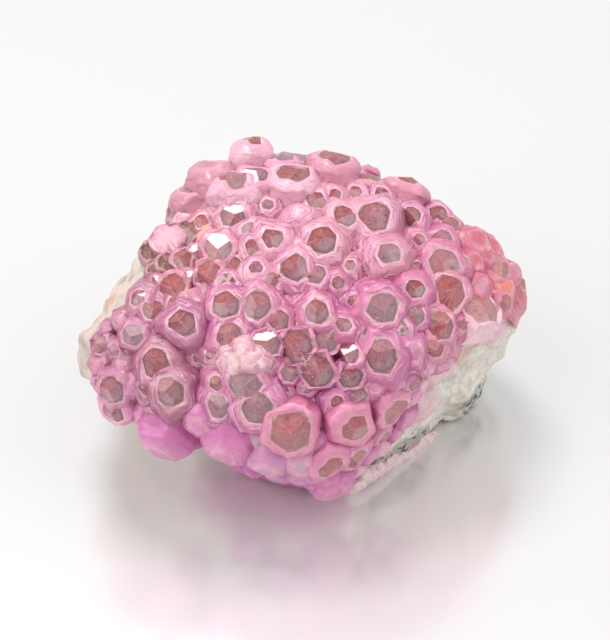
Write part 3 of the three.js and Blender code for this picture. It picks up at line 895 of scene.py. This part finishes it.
def spotted(add, coords, place, radius, ragged):  # 1 at a place of the rock's list, 0 at the radius in mm
    edge = add("TexNoise", {"Vector": coords, "Scale": 1 / (1.2 * mm), "Detail": 3.0})
    spots = meetSheet(rock[place], np.zeros(len(rock[place]))) * mm
    total = None
    for spot in spots:
        away = add("VectorMath.DISTANCE", (coords, tuple(spot)), "Value")
        near = add("MapRange", (away, 0.0, radius * mm, 1.0, 0.0))
        if total is not None:
            near = add("Math.MAXIMUM", (total, near))
        total = near
    total = add("Math.MULTIPLY_ADD", (edge, ragged, total))
    least = 0.72 * ragged  # the noise alone hardly gets further than this
    return add("MapRange", (total, least + 0.05, least + 0.35))


def carbonateRock():  # broken calcite and dolomite rock: pale, matt and sugary, with a few dark ore specks
    stone, add = newMaterial("brokenCarbonateRock")
    coords = add("TexCoord", output="Object")
    covered = add("Attribute", {"attribute_name": "covered"}, "Fac")
    broad, cloudy, grain, rough, veins, dots = [
        add("TexNoise", {"Vector": coords, "Scale": 1 / (size * mm), "Detail": detail})
        for size, detail in ((6.0, 3.0), (2.2, 4.0), (0.45, 2.0), (1.0, 3.0), (2.4, 4.0), (0.5, 1.0))]
    colour, weathered, patchy = [
        add("ValToRGB", {"Fac": field, "stops": stops}) for field, stops in (
            (broad, [(0.32, "#cfc9bd"), (0.5, "#dedad0"), (0.68, "#ddd0c6")]),
            (cloudy, [(0.35, "#a3968d"), (0.5, "#c3b4ac"), (0.68, "#cfb1a6")]),
            (rough, [(0.4, "#393e3c"), (0.5, "#7b807c"), (0.6, "#b9bcb6")]))]

    # greyer clouds, whiter and darker grains, and fine cracks
    cracks = thinLines(add, veins, 0.014, 0.5)
    clouds, grains, specks, ore = [
        add("MapRange", (field, low, high, 0.0, most))
        for field, low, high, most in ((cloudy, 0.45, 0.7, 0.7), (grain, 0.45, 0.75, 0.6),
                                       (dots, 0.7, 0.76, 0.8), (rough, 0.52, 0.6, 1.0))]

    # the weathered left side, stains, the dark patch and the thin line of ore
    across = add("SeparateXYZ", {"Vector": coords}, "X")
    left = add("MapRange", (across, -14 * mm, -19 * mm))
    stains = [
        (add("Math.MULTIPLY", (spotted(add, coords, *place), strength)), tint)
        for place, strength, tint in (
            (("pinkEdge", 4.2, 0.9), 0.65, "#dba6b8"), (("tanPocket", 2.6, 0.9), 0.6, "#c99470"),
            (("tanBlotches", 2.6, 0.9), 0.7, "#bd8e6e"), (("oreDots", 0.7, 0.6), 0.9, "#3f3a38"))]
    dark = spotted(add, coords, "darkPatch", 2.8, 1.0)
    line = spotted(add, coords, "oreLine", 3.4, 0.8)
    halo = add("Math.MULTIPLY", (line, 0.6))
    ore = add("Math.MULTIPLY", (ore, line))

    for share, tint in ((clouds, "#b5aa9f"), (grains, "#efece4"), (cracks, "#958776"), (specks, "#6b5f54"),
                        (left, weathered), *stains, (dark, patchy), (halo, "#9c9a8e"), (ore, "#4c4644"),
                        (covered, "#bd6c98")):
        colour = add("Mix", {"data_type": "RGBA", 0: share, 6: colour, 7: tint})
    height = add("Math.MULTIPLY_ADD", (grain, 0.6, rough))
    bump = add("Bump", {"Height": height, "Strength": 0.5, "Distance": 0.12 * mm})
    shader = add("BsdfPrincipled", {
        "Base Color": colour, "Normal": bump, "Roughness": 0.55, "IOR": 1.58, "Subsurface Weight": 0.15,
        "Subsurface Radius": (1.0, 0.9, 0.8), "Subsurface Scale": 0.6 * mm})
    add("OutputMaterial", {"Surface": shader})
    return stone


def makeRock(placed):
    bm = bmesh.new()
    bm.from_mesh(frame["nodes"]["host_rock"].data)
    bmesh.ops.remove_doubles(bm, verts=bm.verts[:], dist=1e-6)
    for halved in range(rock["cuts"]):
        bmesh.ops.subdivide_edges(bm, edges=bm.edges[:], cuts=1, use_grid_fill=True)
        for _ in range(rock["smooths"] if halved == 1 else 0):
            bmesh.ops.smooth_vert(bm, verts=bm.verts[:], factor=0.5,
                                  use_axis_x=True, use_axis_y=True, use_axis_z=True)
    bm.normal_update()
    moves = []
    for v in bm.verts:
        spot = v.co / mm
        push = 0
        for size, high in rock["lumps"]:
            push += high * (0.5 - abs(noise.noise(spot / size + Vector((size, 0, 0)))) * 2)
        # shelves, slanting a little and deeper in some places than in others
        shelf = (spot.z * 0.9 + spot.x * 0.35 + 1.6 * noise.noise(spot / 9)) / rock["shelfEvery"]
        uneven = noise.noise(spot / 5 + Vector((3, 1, 8)))
        push += rock["shelf"] * (abs(math.fmod(shelf + 40, 1) - 0.5) - 0.25) * uneven * 2
        room = min(1, max(0.0, spot.z / rock["flat"]))  # the underside stays flat
        moves.append(v.normal * (push - rock["inwards"]) * room * mm)
    for v, move in zip(bm.verts, moves):
        v.co += move
        v.co.z = max(v.co.z, 0)
    for f in bm.faces:
        f.smooth = True
    places = np.array([v.co / mm for v in bm.verts])
    covered = np.zeros(len(places))
    for c in placed:  # pink between the crystals' roots
        near = 1.6 * c["body"] - np.linalg.norm(places - c["tip"], axis=1)
        covered = np.maximum(covered, np.clip(near / 1.2, 0, 1))
    low = np.clip((7 - places[:, 2] - 0.5 * np.maximum(places[:, 0], 0)) / 3, 0, 1)
    film = low * np.clip((-4 - places[:, 1]) / 5, 0, 1)  # small crystals under the front
    covered = np.maximum(covered, film)
    layer = bm.verts.layers.float.new("covered")
    for v, share in zip(bm.verts, covered):
        v[layer] = share
    mesh = meshOf(bm, "hostRock")
    mesh.materials.append(carbonateRock())
    stone = newObject("hostRock", mesh)
    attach(stone, "root")
    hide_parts("host_rock")
    print("rock broken:", len(mesh.polygons), "faces")


def makeStage():
    bm = bmesh.new()
    bmesh.ops.create_grid(bm, x_segments=1, y_segments=1, size=1.5)
    mesh = meshOf(bm, "floor")
    floor = newObject("floor", mesh)
    acrylic, add = newMaterial("glossyWhiteAcrylic")  # a display base that mirrors the crystals softly
    add("OutputMaterial", {"Surface": add(
        "BsdfPrincipled", {"Base Color": "#e8e7e7", "Roughness": 0.2, "Metallic": 0.47})})
    mesh.materials.append(acrylic)

    world = bpy.data.worlds.new("studio")
    world.use_nodes = True
    soft = world.node_tree.nodes["Background"]
    soft.inputs["Color"].default_value = (1, 1, 1, 1)
    soft.inputs["Strength"].default_value = 0.72
    scene.world = world

    for name, box in lights.items():
        light = bpy.data.lights.new(name, "AREA")
        light.shape = "DISK"
        light.size = box["size"]
        light.energy = box["power"]
        lamp = newObject(name, light)
        lamp.location = box["place"]
        aim = Vector((0, 0, 0.012)) - Vector(box["place"])
        lamp.rotation_euler = aim.to_track_quat("-Z", "Y").to_euler()

    camera = bpy.data.cameras.new("camera")
    camera.sensor_width = 36
    camera.lens = 36 * sight["distance"] / (640 * sheet["step"])
    camera.clip_start = 0.01
    camera.dof.use_dof = False
    view = newObject("camera", camera)
    view.location = Vector(eye) * mm
    view.rotation_euler = Vector(-towardsEye).to_track_quat("-Z", "Y").to_euler()
    scene.camera = view
    scene.view_settings.view_transform = "Standard"


makeStage()
placed = placeAll()
makeRock(placed)
makeCrust(placed)
